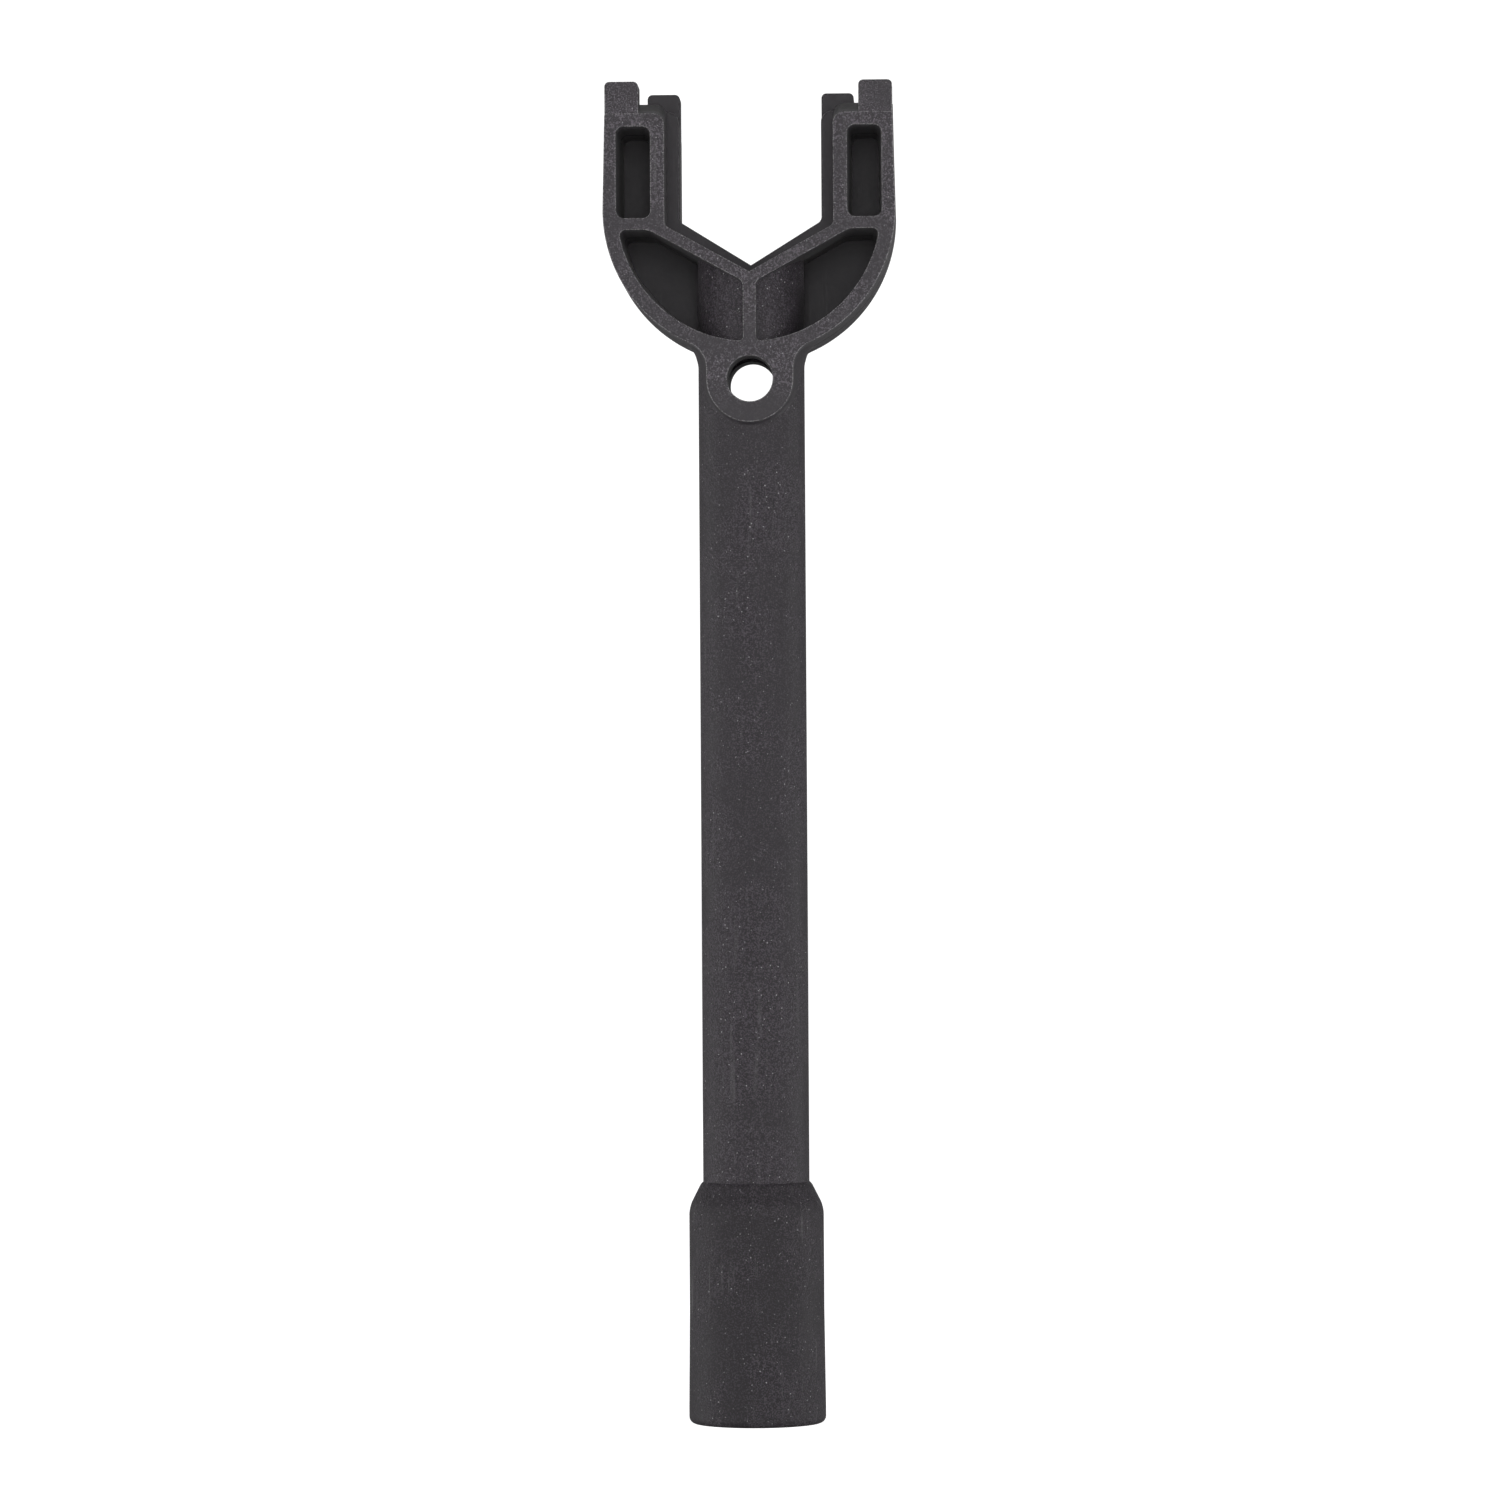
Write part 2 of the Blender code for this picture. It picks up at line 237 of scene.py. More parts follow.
def hole_outline(y):
    bm = bmesh.new()
    bmesh.ops.create_circle(bm, cap_ends=True, segments=HOLE_STEPS, radius=HOLE_RADIUS)
    bmesh.ops.rotate(bm, verts=bm.verts, matrix=Matrix.Rotation(math.pi / 2, 3, "X"))
    bmesh.ops.translate(bm, verts=bm.verts, vec=(0, y, HOLE_Z))
    return bm


def pocket_outlines(y):
    """All four pockets, each a flat face."""
    bm = bmesh.new()
    for outline in (arm_pocket_outline(y), lower_pocket_outline(y)):
        absorb(bm, outline)
    bmesh.ops.mirror(bm, geom=bm.verts[:] + bm.edges[:] + bm.faces[:], matrix=Matrix.Identity(4),
                     merge_dist=0.0001, axis="X")
    return bm


def absorb(bm, other):
    """Copy another bmesh into this one and free it."""
    mesh = bpy.data.meshes.new("passing")
    other.to_mesh(mesh)
    other.free()
    bm.from_mesh(mesh)
    bpy.data.meshes.remove(mesh)


def plate_face(jaw, y, with_pocket_faces):
    """Flat face of a half, open at the hole, and at the pockets unless their faces are asked for."""
    bm = head_outline(y, jaw)
    bmesh.ops.delete(bm, geom=bm.faces[:], context="FACES_ONLY")
    absorb(bm, hole_outline(y))
    bmesh.ops.delete(bm, geom=bm.faces[:], context="FACES_ONLY")
    absorb(bm, pocket_outlines(y))
    if not with_pocket_faces:
        bmesh.ops.delete(bm, geom=bm.faces[:], context="FACES_ONLY")
    bmesh.ops.triangle_fill(bm, edges=bm.edges[:], use_beauty=True, use_dissolve=False)
    return bm


def rounded_rim(bm, faces, radius, steps):
    """Round the edges of a flat face: it ends `radius` further out, drawn in by as much."""
    for step in range(steps):
        start, end = (math.radians(90 * (step + i) / steps) for i in (0, 1))
        bmesh.ops.inset_region(bm, faces=faces, use_boundary=True, use_even_offset=True,
                               thickness=radius * (math.cos(start) - math.cos(end)),
                               depth=radius * (math.sin(end) - math.sin(start)))


def lean_pocket_walls(bm):
    """Pocket walls lean in with depth, each pocket towards its own middle."""
    arm_middle = (sum(ARM_POCKET["x"]) / 2, sum(ARM_POCKET["z"]) / 2)
    for vert in bm.verts:
        x, z = abs(vert.co.x), vert.co.z
        depth = vert.co.y + FACE_Y - 2 * RIM_ROUNDING
        in_arm = arm_span(x, z)
        in_lower = not in_arm and lower_span(x, z)
        if depth < 0 or not (in_arm or in_lower):
            continue
        middle = arm_middle if in_arm else LOWER_POCKET_CENTRE
        side = math.copysign(1, vert.co.x)
        vert.co.x = side * leant(x, middle[0], depth)
        vert.co.z = leant(z, middle[1], depth)


def leant(value, middle, depth):
    """A coordinate of a wall, drawn towards the pocket's middle."""
    return value - max(-1.0, min(1.0, (value - middle) / DRAFT_BLEND)) * DRAFT * depth


def arm_span(x, z):
    """Whether a place is inside an arm pocket or on its rim."""
    (low_x, high_x), (low_z, high_z) = ARM_POCKET["x"], ARM_POCKET["z"]
    slack = POCKET_RIM_SLACK
    return low_x - slack < x < high_x + slack and low_z - slack < z < high_z + slack


def lower_span(x, z):
    """Whether a place is inside a lower pocket or on its rim."""
    slack = POCKET_RIM_SLACK
    under_rib = z < min(rib_underside(x), LOWER_POCKET_TOP_Z) + slack
    in_rim = math.hypot(x, z - HEAD_CENTRE_Z) < HEAD_RADIUS - RIM_WALL + slack
    return x > CENTRE_RIB_HALF - slack and under_rib and in_rim and z > POCKETS_FROM_Z


def flare(place, outwards, fillet):
    """How far a wall moves out at a place, so that it runs onto the handle in a fillet."""
    low, high = 0.0, fillet
    for _ in range(14):
        middle = (low + high) / 2
        moved = place + outwards * middle
        rise = max(0.0, min(fillet, math.hypot(moved.x, moved.y) - TUBE_RADIUS))
        if middle < fillet - math.sqrt(fillet ** 2 - (fillet - rise) ** 2):
            low = middle
        else:
            high = middle
    return high


def flare_onto_tube(bm):
    """Fillet where the outer wall of a half meets the round handle."""
    bm.normal_update()
    moves = []
    for vert in bm.verts:
        across = Vector((vert.normal.x, 0, vert.normal.z))
        if abs(vert.normal.y) > 0.2 or vert.co.z > FLARE_TOP_Z or not on_outer_wall(vert):
            continue
        side = max(0.0, min(1.0, (vert.co.z - HOLE_Z) / FLARE_CHANGE))
        fillet = PAD_FLARE + (NECK_FLARE - PAD_FLARE) * side
        if math.hypot(vert.co.x, vert.co.y) < TUBE_RADIUS + fillet:
            across.normalize()
            moves.append((vert, across * flare(vert.co, across, fillet)))
    for vert, move in moves:
        vert.co += move


def on_outer_wall(vert):
    """Whether a vertex of a wall is outside the pockets and the hole."""
    x, z = abs(vert.co.x), vert.co.z
    return not (arm_span(x, z) or lower_span(x, z) or math.hypot(x, z - HOLE_Z) < HOLE_WALL_RADIUS)


def outer_wall_edges(bm):
    """Edges of the outer wall that run from front to back."""
    return [edge for edge in bm.edges
            if abs(edge.verts[0].co.y - edge.verts[1].co.y) > 5 and all(map(on_outer_wall, edge.verts))]


def extrude_to(bm, faces, distance):
    """Extrude a flat region along Y and return its faces at the far end."""
    made = bmesh.ops.extrude_face_region(bm, geom=faces)
    moved = [part for part in made["geom"] if isinstance(part, bmesh.types.BMVert)]
    bmesh.ops.translate(bm, verts=moved, vec=(0, distance, 0))
    return [part for part in made["geom"] if isinstance(part, bmesh.types.BMFace)]


def slope_arm_tops(faces, ridge_z):
    """The arm tops fall from the middle plane towards the outer face."""
    for vert in {vert for face in faces for vert in face.verts}:
        if vert.co.z > ridge_z - TIP_CORNER - 0.1:
            vert.co.z -= TOP_SLOPE_RISE


def facing(bm, sign):
    """Flat faces that look along +Y or -Y."""
    bmesh.ops.recalc_face_normals(bm, faces=bm.faces)
    bm.normal_update()
    return [face for face in bm.faces if face.normal.y * sign > 0.99]


def subdivide_walls(bm):
    bmesh.ops.subdivide_edges(bm, edges=outer_wall_edges(bm), cuts=WALL_CUTS, use_grid_fill=True)


def front_half_shape():
    """Front half without its lugs: pockets and hole go right through it."""
    start = SEAM_GAP + SEAM_ROUNDING
    bm = plate_face(FRONT_JAW, -start, False)
    outer = extrude_to(bm, bm.faces[:], -(FACE_Y - RIM_ROUNDING - start))
    slope_arm_tops(outer, FRONT_JAW["ridge_z"])
    subdivide_walls(bm)
    rounded_rim(bm, facing(bm, -1), RIM_ROUNDING, 4)
    rounded_rim(bm, facing(bm, 1), SEAM_ROUNDING, 2)
    lean_pocket_walls(bm)
    flare_onto_tube(bm)
    return bm


def rear_half_shape():
    """Rear half without its lugs: its pockets end in floors near the rear face."""
    start = SEAM_GAP + SEAM_ROUNDING
    bm = plate_face(REAR_JAW, start, True)
    outer = extrude_to(bm, bm.faces[:], FACE_Y - RIM_ROUNDING - start)
    slope_arm_tops(outer, REAR_JAW["ridge_z"])
    subdivide_walls(bm)
    rounded_rim(bm, facing(bm, 1), RIM_ROUNDING, 4)
    # The pockets' own faces have many corners; the plate round them is made of small faces.
    mouths = [face for face in facing(bm, -1) if len(face.verts) > 8]
    rounded_rim(bm, [face for face in facing(bm, -1) if face not in mouths], SEAM_ROUNDING, 2)
    extrude_to(bm, mouths, POCKET_FLOOR_Y - start)
    bmesh.ops.delete(bm, geom=[face for face in mouths if face.is_valid], context="FACES_ONLY")
    lean_pocket_walls(bm)
    flare_onto_tube(bm)
    return bm


def block(across, side, hand, heights):
    """A square block as deep as a lug, on one arm of one half."""
    (low_x, high_x), (low_z, high_z) = across, heights
    middle = (hand * (low_x + high_x) / 2,
              side * (FACE_Y - LUG_SETBACK - LUG_DEPTH / 2),
              (low_z + high_z) / 2)
    bm = bmesh.new()
    bmesh.ops.create_cube(bm, size=1)
    bmesh.ops.scale(bm, vec=(high_x - low_x, LUG_DEPTH, high_z - low_z), verts=bm.verts)
    bmesh.ops.translate(bm, verts=bm.verts, vec=middle)
    return bm


def above_root(vert):
    return vert.co.z > LUG_ROOT_Z + 1


def upright_or_front_to_back(edge):
    return abs(edge.verts[0].co.x - edge.verts[1].co.x) < 0.1


def sharp(edge):
    return edge.link_faces[0].normal.dot(edge.link_faces[1].normal) < 0.5


def bevelled(bm, edges, offset, segments):
    bmesh.ops.bevel(bm, geom=edges, offset=offset, segments=segments, profile=0.5, affect="EDGES",
                    material=-1)


def lug_shape(lug, side, hand):
    """A driving lug: round top corners, and slightly rounded edges everywhere above its root."""
    bm = block(lug["x"], side, hand, (LUG_ROOT_Z, lug["top_z"]))
    corners = [edge for edge in bm.edges
               if all(map(above_root, edge.verts)) and upright_or_front_to_back(edge)]
    bevelled(bm, corners, LUG_CORNER, 6)
    outline = [edge for edge in bm.edges if any(map(above_root, edge.verts)) and sharp(edge)]
    bevelled(bm, outline, LUG_ROUNDING, 4)
    return bm


def lug_heel(hand):
    """Fills the rounded corner of a rear arm below its lug."""
    inner = REAR_LUG["x"][0]
    return block((inner, inner + HEEL_WIDTH), 1, hand, (LUG_ROOT_Z - HEEL_DROP, LUG_ROOT_Z + 1))


def rod(radius, low_z, high_z, steps=TURN_STEPS):
    """A round or many-sided rod on the tool's axis."""
    bm = bmesh.new()
    bmesh.ops.create_cone(bm, cap_ends=True, segments=steps, radius1=radius, radius2=radius,
                          depth=high_z - low_z)
    bmesh.ops.translate(bm, verts=bm.verts, vec=(0, 0, (low_z + high_z) / 2))
    return bm


def above_rib(rise):
    """Everything above the underside of the V-shaped rib, raised by `rise`."""
    far = HEAD_RADIUS + 5
    bm = bmesh.new()
    vert = bm.verts.new((0, -far, rib_underside(0) + rise))
    vert = reach(bm, vert, far, rib_underside(far) + rise)
    vert = reach(bm, vert, far, FRONT_LUG["top_z"] + far)
    reach(bm, vert, 0, FRONT_LUG["top_z"] + far)
    close_mirrored(bm)
    extrude_to(bm, bm.faces[:], 2 * far)
    return bm


def cross_rod():
    """A rod through the cross hole, from front to back."""
    bm = rod(HOLE_RADIUS, -2 * FACE_Y, 2 * FACE_Y, HOLE_STEPS)
    bmesh.ops.rotate(bm, verts=bm.verts, matrix=Matrix.Rotation(math.pi / 2, 3, "X"))
    bmesh.ops.translate(bm, verts=bm.verts, vec=(0, 0, HOLE_Z))
    return bm


def turned(corners, roundings):
    """Turn a closed (radius, z) profile round the axis, with some of its corners rounded."""
    bm = bmesh.new()
    first = vert = bm.verts.new((corners[0][0], 0, corners[0][1]))
    for radius, z in corners[1:]:
        vert = reach(bm, vert, radius, z)
    bm.edges.new((vert, first))
    bmesh.ops.contextual_create(bm, geom=bm.edges[:])
    for place, offset in roundings:
        round_corners(bm, near(bm, place), offset, 6)
    bmesh.ops.delete(bm, geom=bm.faces[:], context="FACES_ONLY")
    bmesh.ops.spin(bm, geom=bm.verts[:] + bm.edges[:], cent=(0, 0, 0), axis=(0, 0, 1), angle=math.tau,
                   steps=TURN_STEPS, use_merge=True)
    bmesh.ops.remove_doubles(bm, verts=bm.verts, dist=0.0005)
    return bm


# ---------------------------------------------------------------- pieces

def solid(name, bm):
    """An object from a bmesh, still in millimetres."""
    bmesh.ops.recalc_face_normals(bm, faces=bm.faces)
    mesh = bpy.data.meshes.new(name)
    bm.to_mesh(mesh)
    bm.free()
    thing = bpy.data.objects.new(name, mesh)
    bpy.context.scene.collection.objects.link(thing)
    return thing


def work(piece, operation, *shapes):
    """Unite a piece with shapes, or cut them out of it."""
    tools = [solid("tool", shape) for shape in shapes]
    for tool in tools:
        boolean = piece.modifiers.new("cut", "BOOLEAN")
        boolean.solver = "EXACT"
        boolean.operation = operation
        boolean.object = tool
    worked = bpy.data.meshes.new_from_object(piece.evaluated_get(bpy.context.evaluated_depsgraph_get()))
    piece.modifiers.clear()
    piece.data = worked
    for tool in tools:
        bpy.data.objects.remove(tool)


def finished(piece, node, material, sharp_angle=28):
    """Bring a piece to metres, shade it, give it its finish and put it in place of its CAD node."""
    piece.data.transform(Matrix.Scale(MM, 4))
    piece.data.shade_smooth()
    piece.data.set_sharp_from_angle(angle=math.radians(sharp_angle))
    weighted = piece.modifiers.new("flat faces stay flat", "WEIGHTED_NORMAL")
    weighted.keep_sharp = True
    weighted.weight = 100
    piece.data.materials.clear()
    piece.data.materials.append(material)
    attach(piece, "root")
    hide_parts(node)


def head_half(node, shape, lug, side, material):
    """A half with its lugs, and with room for the handle's end; side is -1 in front and 1 behind."""
    half = solid(node + "_piece", shape)
    additions = [lug_shape(lug, side, hand) for hand in (-1, 1)]
    if side > 0:
        additions += [lug_heel(hand) for hand in (-1, 1)]
    work(half, "UNION", *additions)
    space = solid("tube_space", rod(TUBE_RADIUS - SQUEEZE, TUBE_ROOM_FROM_Z, HEAD_CENTRE_Z))
    work(space, "DIFFERENCE", above_rib(-TUBE_ROOM_SHORT))
    room = bmesh.new()
    room.from_mesh(space.data)
    bpy.data.objects.remove(space)
    work(half, "DIFFERENCE", room)
    finished(half, node, material)


def handle_piece(material):
    """Round hollow handle; its top follows the underside of the V-shaped rib."""
    tube = solid("handle_tube_piece", rod(TUBE_RADIUS, TUBE_LOW.z, HEAD_CENTRE_Z))
    work(tube, "DIFFERENCE", above_rib(TUBE_TOP_SINK))
    work(tube, "DIFFERENCE", rod(BORE_RADIUS, 0, BORE_TOP_Z, HOLE_STEPS))
    work(tube, "DIFFERENCE", cross_rod())
    finished(tube, "handle_tube", material)


def sleeve_piece(material):
    """Socket body: rounded mouth, faint flare, straight wall, conical shoulder onto the handle."""
    low, high = SHOULDER_Z
    seat, grip = INSERT_HIGH.x + SEAT_GAP, TUBE_RADIUS - SQUEEZE
    mouth, wall = SLEEVE_MOUTH_RADIUS, SLEEVE_RADIUS
    lip = (TUBE_RADIUS + 0.5, high - 0.4)
    outside = [(seat + 0.7, 0), (mouth, 0), (mouth, MOUTH_BAND_Z[0]), (wall, MOUTH_BAND_Z[1]),
               (wall, low), lip, (TUBE_RADIUS, high)]
    inside = [(grip, high), (grip, TUBE_LOW.z), (seat, TUBE_LOW.z), (seat, 0.8)]
    roundings = [((mouth, 0), 1.5), ((wall, low), 1.6), (lip, 0.5)]
    sleeve = solid("socket_sleeve_piece", turned(outside + inside, roundings))
    finished(sleeve, "socket_sleeve", material)


def insert_piece(material):
    """Steel liner with a hexagon bore and a turned lead-in at its mouth."""
    low, high, radius = INSERT_LOW.z, INSERT_HIGH.z, INSERT_HIGH.x
    corner = HEX_ACROSS_FLATS / math.sqrt(3)
    insert = solid("hex_insert_piece", rod(radius, low, high))
    work(insert, "DIFFERENCE", rod(corner, low - 5, high + 5, 6))
    lead = bmesh.new()
    bmesh.ops.create_cone(lead, cap_ends=True, segments=TURN_STEPS, depth=LEAD_IN,
                          radius1=corner + 1, radius2=corner - 1.2)
    bmesh.ops.translate(lead, verts=lead.verts, vec=(0, 0, low + 0.5))
    work(insert, "DIFFERENCE", lead)
    finished(insert, "hex_insert", material)


# ---------------------------------------------------------------- finishes

HEAD_SHADE = (0.0300, 0.0266, 0.0308)
# The handle and socket are darker copies of one nylon colour, darkest on the socket: painted shade of
# the light falling off towards the bottom of the tool.
HANDLE_COLOUR_WITH_PAINTED_SHADE = [part * 0.74 for part in (0.0240, 0.0205, 0.0248)]
SLEEVE_COLOUR_WITH_PAINTED_SHADE = [part * 0.62 for part in (0.0240, 0.0205, 0.0248)]
GRAIN_LIFT = 3.4                    # how many times paler the tops of the grain are
SCUFF_COLOUR = (0.12, 0.116, 0.12)
# Pale line on the rounded edges: partly wear, partly a painted highlight of the lights on them.
WORN_AND_HIGHLIT_EDGE_COLOUR = (0.3, 0.294, 0.3)
# Painted shade: near-black for the shade inside the parting groove between the halves.
GROOVE_PAINTED_SHADE_COLOUR = (0.003, 0.003, 0.003)
FIBRE_COLOUR = (0.36, 0.35, 0.36)

# Where a pattern fades in, as pairs of millimetres.
MOULDED_FACE_Y = (9.5, 12.5)
# Painted shade: below these heights on the neck the grain, and with it the paler colour, fades out.
NECK_PAINTED_SHADE_Z = (226, 236)
EDGE_WEAR_AND_HIGHLIGHT_FACE_Y = (12.7, 12.9)
EDGE_WEAR_AND_HIGHLIGHT_PARTING_Y = (0.5, 0.6)
GROOVE_Y = (0.25, 0.5)
FORK_X = (25, 25.5)
FORK_Z = (250, 251)


class Value:
    """A link in a node tree on which arithmetic adds Math nodes."""

    def __init__(self, nodes, socket):
        self.nodes = nodes
        self.socket = socket

    def combine(self, operation, first, second):
        return self.nodes.node("Math", {"operation": operation}, {0: first, 1: second})

    def __add__(self, other):
        return self.combine("ADD", self, other)

    def __sub__(self, other):
        return self.combine("SUBTRACT", self, other)

    def __rsub__(self, other):
        return self.combine("SUBTRACT", other, self)

    def __mul__(self, other):
        return self.combine("MULTIPLY", self, other)

    __radd__ = __add__
    __rmul__ = __mul__

    def __truediv__(self, other):
        return self.combine("DIVIDE", self, other)

    def size(self):
        return self.combine("ABSOLUTE", self, 0)

    def root(self):
        return self.combine("SQRT", self, 0)

    def above(self, low, high):
        """0 below low, 1 above high, smooth between."""
        return self.nodes.node("MapRange", {"interpolation_type": "SMOOTHSTEP"},
                               {"Value": self, "From Min": low, "From Max": high})


class Nodes:
    """A node tree, with one way to add any node to it."""

    def __init__(self, tree):
        self.tree = tree

    def node(self, kind, settings=None, sockets=None, output=0):
        """Add a node with its settings and the values or links of its sockets; gives an output."""
        made = self.tree.nodes.new("ShaderNode" + kind)
        for name, value in (settings or {}).items():
            setattr(made, name, value)
        for name, value in (sockets or {}).items():
            self.feed(made.inputs[name], value)
        return Value(self, made.outputs[output])

    def feed(self, socket, value):
        """Link a value to a socket, or set the socket to a constant."""
        if isinstance(value, Value):
            self.tree.links.new(value.socket, socket)
        else:
            socket.default_value = value


class Finish(Nodes):
    """A material with one Principled shader, whose patterns read Object coordinates."""

    def __init__(self, name, **constants):
        self.material = bpy.data.materials.new(name)
        self.material.use_nodes = True
        super().__init__(self.material.node_tree)
        self.shader = self.tree.nodes["Principled BSDF"]
        for socket, value in constants.items():
            self.shader.inputs[socket.replace("_", " ")].default_value = value
        self.place = self.node("TexCoord", output="Object")

    def paint(self, colour, roughness, normal):
        """Give the shader its varying colour, roughness and relief."""
        for name, value in (("Base Color", colour), ("Roughness", roughness), ("Normal", normal)):
            self.feed(self.shader.inputs[name], value)

    def noise(self, scale, detail=2.0, roughness=0.5, stretch=(1, 1, 1)):
        """Cloudy pattern, with about as many clouds to the metre as the scale says."""
        place = self.node("Mapping", {}, {"Vector": self.place, "Scale": stretch})
        return self.node("TexNoise", {}, {"Vector": place, "Scale": scale, "Detail": detail,
                                          "Roughness": roughness})

    def specks(self, spacing, size):
        """Round dots of a size, one or none in each cell of a spacing, in millimetres."""
        cells = self.node("TexVoronoi", {"feature": "F1"},
                          {"Vector": self.place, "Scale": 1 / (spacing * MM)})
        return 1 - cells.above(0.5 * size / spacing, 0.9 * size / spacing)

    def apart(self, axis):
        """Distance from the tool's middle along an axis (0, 1 or 2), in millimetres."""
        return self.node("SeparateXYZ", {}, {0: self.place}, axis).size() / MM

    def depth(self):
        """Distance from the middle plane, to the front or the rear."""
        return self.apart(1)

    def facing(self):
        """How squarely the surface looks to the front or the rear: 1 on the faces, 0 on the walls."""
        return self.node("SeparateXYZ", {}, {0: self.node("TexCoord", output="Normal")}, 1).size()

    def edges(self):
        """1 on the rounded edges round the front and rear faces and along the parting line, where a
        pale line goes that is partly wear and partly a painted highlight.
        """
        facing, depth = self.facing(), self.depth()
        slant = facing * (1 - facing * facing).root() * 2
        return slant.above(0.5, 0.9) * (depth.above(*EDGE_WEAR_AND_HIGHLIGHT_FACE_Y) + 1 - depth.above(*EDGE_WEAR_AND_HIGHLIGHT_PARTING_Y))

    def parting(self):
        """1 in the groove of the parting line, round the outside of the head, where shade is painted.
        """
        fork = (1 - self.apart(0).above(*FORK_X)) * self.apart(2).above(*FORK_Z)
        groove = 1 - self.depth().above(*GROOVE_Y)
        return (1 - fork) * groove * (1 - self.facing().above(0.8, 0.97))

    def tint(self, amount, dark, light):
        """A plain dark colour that turns to a light one as the amount grows from 0 to 1."""
        return self.blend(amount, (*dark, 1), light)

    def blend(self, amount, below, above):
        """A colour laid over the colours below it, as strongly as the amount."""
        sockets = {"Factor": amount, 6: below, 7: (*above, 1)}
        return self.node("Mix", {"data_type": "RGBA"}, sockets, 2)

    def bump(self, height, distance, normal=None):
        """Relief from a height of 0 to 1 that stands for a distance in metres."""
        sockets = {"Height": height, "Distance": distance, "Strength": 1.0}
        if normal:
            sockets["Normal"] = normal
        return self.node("Bump", {}, sockets)


def nylon(name, shade, grain, roughness, scuffs, is_head=False):
    """Moulded glass-filled nylon: nearly black, finely grained, with pale fibre specks and scuffs.

    A head half has its grain on its outer faces, fading down the neck as painted shade, pale edges that
    are partly wear and partly a painted highlight, and painted shade in its parting groove.
    """
    finish = Finish(name, Specular_IOR_Level=0.32, Sheen_Weight=0.05, Sheen_Roughness=0.45)
    coarse = finish.noise(1250, 2.0, 0.5)
    fine = finish.noise(3000, 1.0, 0.5)
    cloudy = finish.noise(60, 3.0, 0.55)
    streaks = finish.noise(260, 4.0, 0.6, (3.0, 3.0, 0.16))
    scratches = streaks.above(0.56, 0.7) * cloudy.above(0.42, 0.62) * scuffs
    relief = grain * (0.45 + 0.75 * cloudy.above(0.4, 0.6))
    if is_head:
        relief = relief * finish.depth().above(*MOULDED_FACE_Y)
        # Painted shade: the grain and its paler colour fade down the neck, darkening it towards the
        # bottom where less light falls.
        relief = relief * (0.25 + 0.75 * finish.apart(2).above(*NECK_PAINTED_SHADE_Z))
    fibres = finish.specks(1.25, 0.2) * fine.above(0.4, 0.55) * relief

    tone = (fine.above(0.48, 0.66) * 0.9 + coarse.above(0.45, 0.7) * 0.25) * relief
    colour = finish.tint(tone, shade, [part * GRAIN_LIFT for part in shade])
    surface_colour = finish.blend(scratches * 0.6, colour, SCUFF_COLOUR)
    if is_head:
        # Pale rounded edges: partly wear, partly a painted highlight of the side lights catching them.
        rubbed_and_highlit = finish.edges() * (0.2 + 0.8 * fine.above(0.42, 0.58))
        surface_colour = finish.blend(rubbed_and_highlit * 0.7, surface_colour, WORN_AND_HIGHLIT_EDGE_COLOUR)
        # Painted shade: a near-black line in the parting groove, where the gap between the halves lies
        # in shade.
        surface_colour = finish.blend(finish.parting() * 0.9, surface_colour, GROOVE_PAINTED_SHADE_COLOUR)
    flecked = finish.blend(fibres * 0.6, surface_colour, FIBRE_COLOUR)
    matt = roughness + 0.25 * (coarse - 0.5) + 0.08 * (cloudy - 0.5) + 0.08 * scratches
    grainy = finish.bump((coarse + 0.5 * fine) * relief, 0.0002)
    scored = finish.bump(scratches, 0.00003, grainy)
    finish.paint(flecked, matt, scored)
    return finish.material


def dark_steel(name):
    """Phosphated steel with fine turning marks."""
    finish = Finish(name, Metallic=1.0)
    grain = finish.noise(1500, 2.0, 0.5)
    marks = finish.noise(500, 2.0, 0.5, (0.2, 0.2, 6.0))
    colour = finish.tint(grain, (0.05, 0.05, 0.052), (0.13, 0.13, 0.135))
    finish.paint(colour, 0.3 + 0.25 * grain, finish.bump(marks, 0.00002))
    return finish.material


# ---------------------------------------------------------------- stage, light and camera

MIDDLE = Vector((-0.00085, 0, 0.1509))      # where the lights and the camera aim, in metres
WHITE = (1, 1, 1, 1)
SEEN = 1.15                                 # brightness of the white that the camera sees
BACKDROP = 0.2                              # brightness of what lights the tool from behind
ROOM = 0.06                                 # and from everywhere else
FLOOR_RADIUS = 40
CAMERA_DISTANCE = 1.395
LENS = 149


def floor():
    """Plain pale floor that stays bright right up to the tool."""
    bm = bmesh.new()
    bmesh.ops.create_circle(bm, cap_ends=True, segments=96, radius=FLOOR_RADIUS)
    mesh = bpy.data.meshes.new("floor")
    bm.to_mesh(mesh)
    bm.free()
    plane = bpy.data.objects.new("floor", mesh)
    bpy.context.scene.collection.objects.link(plane)
    finish = Finish("floor_white", Roughness=0.9, Base_Color=(0.85, 0.85, 0.85, 1),
                    Specular_IOR_Level=0.0, Emission_Color=WHITE, Emission_Strength=1.0)
    mesh.materials.append(finish.material)
    plane.visible_diffuse = False
    plane.visible_glossy = False
    plane.visible_shadow = False


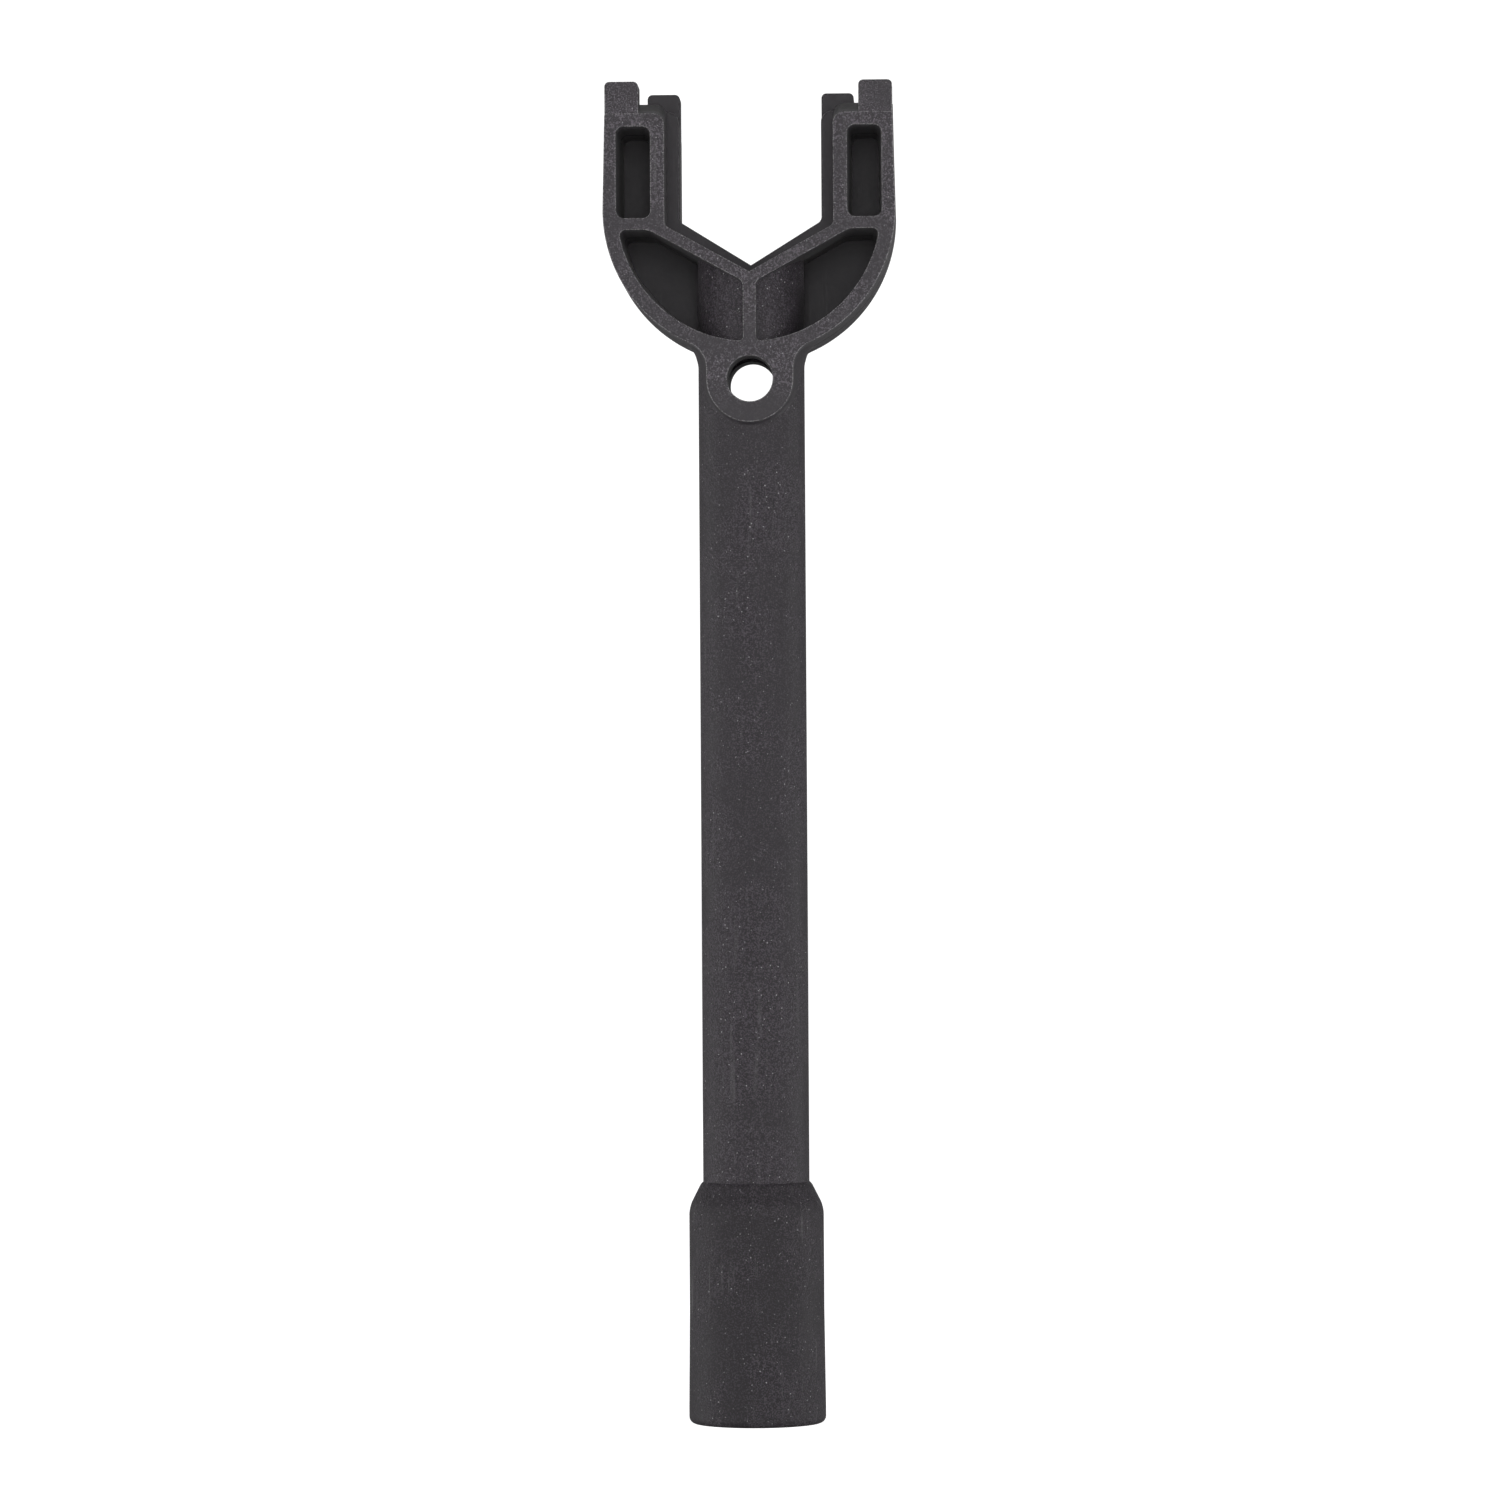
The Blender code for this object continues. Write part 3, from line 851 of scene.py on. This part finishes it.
def white_surroundings():
    """White to the camera; a dim backdrop behind the tool and little elsewhere for its light."""
    world = bpy.data.worlds.new("surroundings")
    bpy.context.scene.world = world
    world.use_nodes = True
    sky = Nodes(world.node_tree)
    seen, backdrop, room = (sky.node("Background", {}, {"Color": WHITE, "Strength": strength})
                            for strength in (SEEN, BACKDROP, ROOM))
    direction = sky.node("TexCoord", output="Generated")
    behind = sky.node("SeparateXYZ", {}, {0: direction}, "Y").above(0.75, 0.95)
    light = sky.node("MixShader", {}, {"Fac": behind, 1: room, 2: backdrop})
    by_camera = sky.node("LightPath", output="Is Camera Ray")
    view = sky.node("MixShader", {}, {"Fac": by_camera, 1: light, 2: seen})
    sky.feed(sky.tree.nodes["World Output"].inputs["Surface"], view)


def direction_from(azimuth, elevation):
    """Unit vector towards a place seen from the tool: azimuth 0 is in front, in degrees."""
    turn, rise = math.radians(azimuth), math.radians(elevation)
    return Vector((math.sin(turn) * math.cos(rise), -math.cos(turn) * math.cos(rise), math.sin(rise)))


def softbox(name, azimuth, elevation, distance, size, brightness):
    """A rectangular area light aimed at the middle of the tool, set by how bright its face is.

    Angles are in degrees, the distance and the size in metres.
    """
    towards = direction_from(azimuth, elevation)
    lamp = bpy.data.lights.new(name, "AREA")
    lamp.shape = "RECTANGLE"
    lamp.size, lamp.size_y = size
    lamp.energy = brightness * math.pi * size[0] * size[1]
    thing = bpy.data.objects.new(name, lamp)
    thing.location = MIDDLE + towards * distance
    thing.rotation_mode = "QUATERNION"
    thing.rotation_quaternion = towards.to_track_quat("Z", "Y")
    bpy.context.scene.collection.objects.link(thing)


def camera():
    """A long lens, a little to the right of the tool's front and a little below its middle."""
    back = direction_from(1.77, -0.87)
    roll = Matrix.Rotation(math.radians(-0.346), 4, "Z").to_quaternion()
    data = bpy.data.cameras.new("camera")
    data.sensor_width = 36
    data.lens = LENS
    data.clip_start, data.clip_end = 0.05, 100
    thing = bpy.data.objects.new("camera", data)
    thing.rotation_mode = "QUATERNION"
    thing.rotation_quaternion = back.to_track_quat("Z", "Y") @ roll
    thing.location = MIDDLE + back * CAMERA_DISTANCE
    bpy.context.scene.collection.objects.link(thing)
    bpy.context.scene.camera = thing


# ---------------------------------------------------------------- the tool on its stage

front_nylon = nylon("front_half_nylon_finish", HEAD_SHADE,
                    grain=1.0, roughness=0.56, scuffs=0.5, is_head=True)
rear_nylon = nylon("rear_half_nylon_finish", HEAD_SHADE,
                   grain=0.9, roughness=0.56, scuffs=0.3, is_head=True)
handle_nylon = nylon("handle_nylon_finish", HANDLE_COLOUR_WITH_PAINTED_SHADE,
                     grain=1.5, roughness=0.58, scuffs=0.5)
sleeve_nylon = nylon("sleeve_nylon_finish", SLEEVE_COLOUR_WITH_PAINTED_SHADE,
                     grain=1.3, roughness=0.62, scuffs=1.0)

head_half("front_head_half", front_half_shape(), FRONT_LUG, -1, front_nylon)
head_half("rear_head_half", rear_half_shape(), REAR_LUG, 1, rear_nylon)
handle_piece(handle_nylon)
sleeve_piece(sleeve_nylon)
insert_piece(dark_steel("insert_steel_finish"))

floor()
white_surroundings()
softbox("key_above", 0, 35, 1.2, (0.8, 0.4), 0.8)
softbox("from_below", 0, -40, 2.4, (1.6, 0.8), 2.0)
softbox("fill_front", 2, 10, 1.2, (0.5, 0.6), 3.9)
softbox("fill_wide", 2, 0, 1.6, (1.3, 1.2), 0.55)
for hand in (-1, 1):
    softbox("side_front", 45 * hand, 6, 1.2, (0.28, 0.9), 6.4)
    softbox("side_rim", 100 * hand, -8, 1.2, (0.4, 0.9), 5.0)
softbox("back", 180, 20, 1.6, (0.9, 0.9), 0.5)
camera()
bpy.context.scene.view_settings.view_transform = "Standard"
